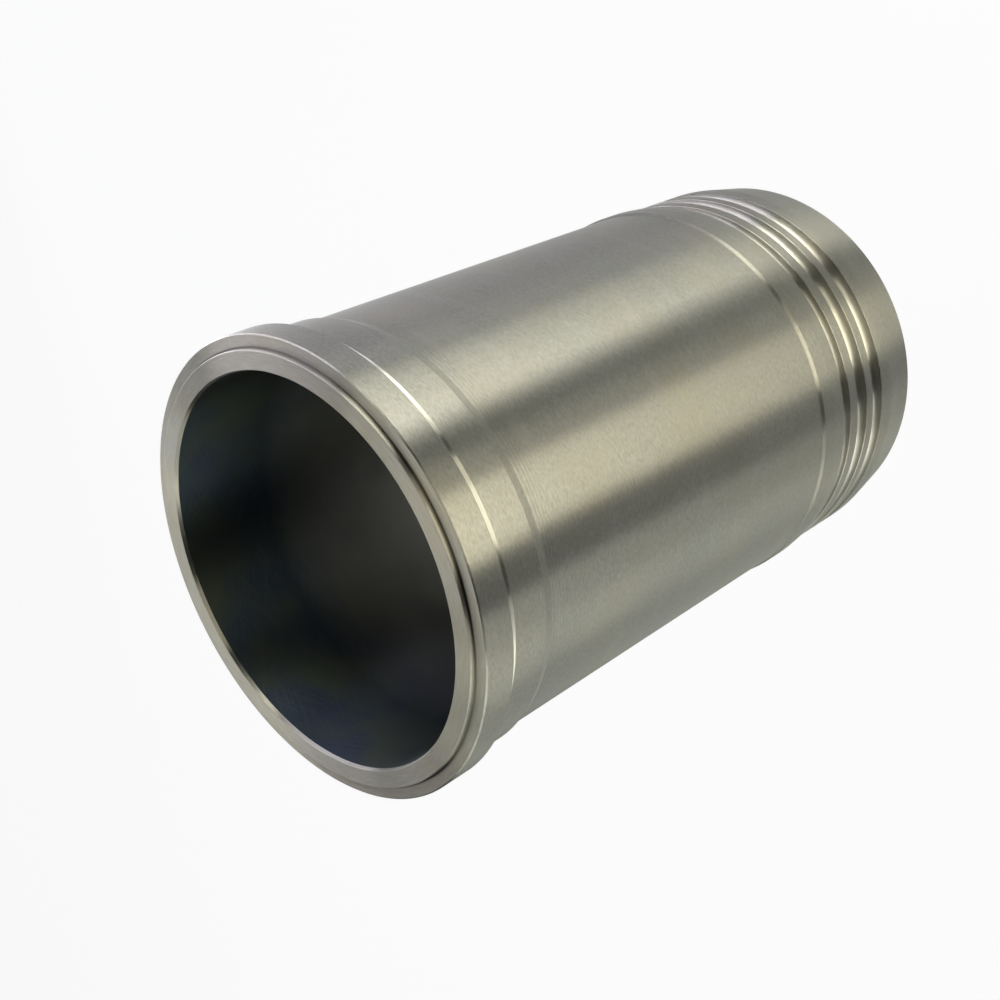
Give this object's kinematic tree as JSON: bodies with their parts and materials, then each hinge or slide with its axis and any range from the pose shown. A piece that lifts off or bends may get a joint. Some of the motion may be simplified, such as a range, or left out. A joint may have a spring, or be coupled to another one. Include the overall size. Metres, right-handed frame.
{
  "type": "cylinder liner",
  "caption": "Flanged wet cylinder liner of a heavy diesel engine: a turned cast-iron tube with a raised fire ring, a seat flange, a lower pilot and round seal grooves.",
  "frame": {"origin": "centre of the skirt end on the bore's axis, the plane that the liner stands on", "axes": "+Z along the bore from the skirt end to the fire ring, flange up; the part is round, so X and Y are free"},
  "size_m": [0.1462, 0.1462, 0.232],
  "materials": {
    "cast_iron": "fine-turned grey cast iron, bright, with a cross-hatched honed bore"
  },
  "bodies": {
    "root": {"cylinder_liner": "cast_iron"}
  },
  "joints": []
}
